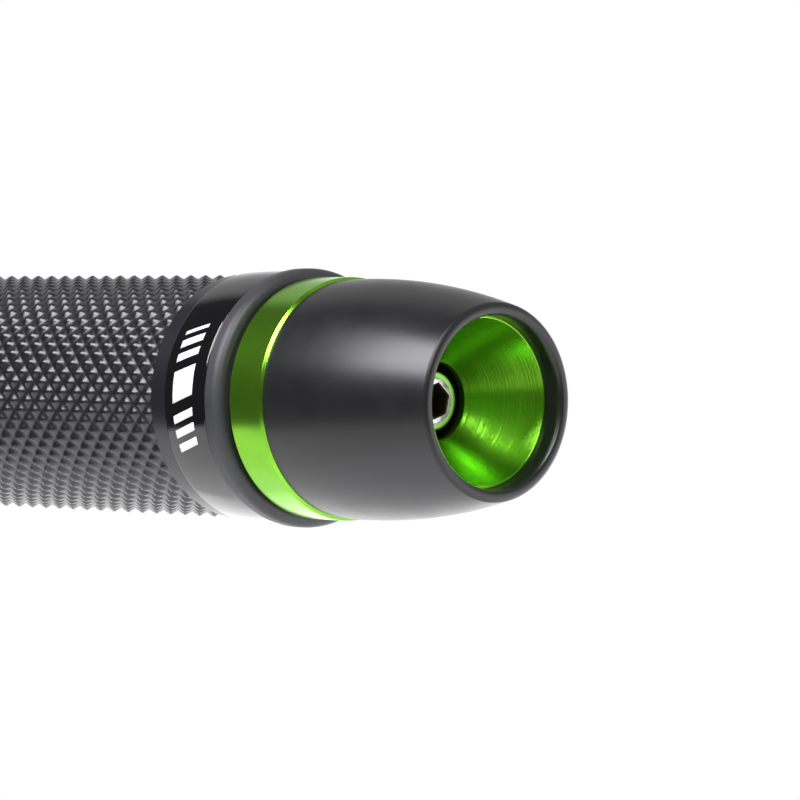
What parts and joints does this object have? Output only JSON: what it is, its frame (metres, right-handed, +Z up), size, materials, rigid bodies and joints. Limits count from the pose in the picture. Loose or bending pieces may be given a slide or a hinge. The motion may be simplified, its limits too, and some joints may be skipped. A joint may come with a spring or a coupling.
{
  "type": "handlebar grip with bar end",
  "caption": "Knurled rubber twist grip on a handlebar end, with a gloss collar and a tapered anodised bar-end weight whose dished green cup holds a socket-head screw.",
  "frame": {"origin": "centre of the bare handlebar's end face, inboard of the grip", "axes": "+X along the bar out to the bar end (the rider's right), +Y forward, +Z up"},
  "size_m": [0.2153, 0.041, 0.041],
  "materials": {
    "black_painted_steel": "satin black paint over steel",
    "black_nylon": "moulded nylon, matte",
    "knurled_rubber": "moulded rubber with a diamond knurl, satin",
    "gloss_black": "moulded, polished gloss black",
    "end_rubber": "moulded rubber, smooth satin",
    "green_anodised": "turned and bright green anodised",
    "black_anodised": "turned, bead blasted and black anodised, satin",
    "chromed_steel": "bright chromed steel",
    "zinc_steel": "bright zinc plated steel",
    "turned_aluminium": "turned, uncoated",
    "black_rubber": "moulded rubber, matte",
    "white_acetal": "stamped sheet, matte"
  },
  "bodies": {
    "handlebar": {"handlebar_tube": "black_painted_steel", "spacer_ring": "green_anodised", "barrel": "black_anodised", "cup": "green_anodised", "cup_o_ring": "black_rubber", "spigot": "turned_aluminium", "spigot_o_ring": "black_rubber", "flat_washer": "zinc_steel", "spring_washer": "zinc_steel", "expander_sleeve_outer": "black_rubber", "expander_sleeve_inner": "black_rubber", "expander_washers": "zinc_steel", "thrust_washer": "white_acetal"},
    "throttle_grip": {"throttle_tube": "black_nylon", "grip_rubber": "knurled_rubber", "collar": "gloss_black", "end_ring": "end_rubber"},
    "screw": {"bar_end_screw": "chromed_steel"},
    "plug": {"cone_plug": "turned_aluminium", "captive_nut": "zinc_steel"}
  },
  "joints": [
    {"name": "throttle_twist", "type": "hinge", "parent": "handlebar", "child": "throttle_grip", "pos_m": [0.0902, 0, 0], "axis": [1, 0, 0], "range_deg": [0, 75]},
    {"name": "screw_turn", "type": "hinge", "parent": "handlebar", "child": "screw", "pos_m": [0.1804, 0, 0], "axis": [1, 0, 0], "range_deg": [0, 1080]},
    {"name": "plug_travel", "type": "slide", "parent": "handlebar", "child": "plug", "axis": [-1, 0, 0], "range_m": [0, 0.0024]}
  ],
  "couplings": [
    {"joint": "screw_turn", "follows": "plug_travel", "rad_per_m": 7854}
  ]
}
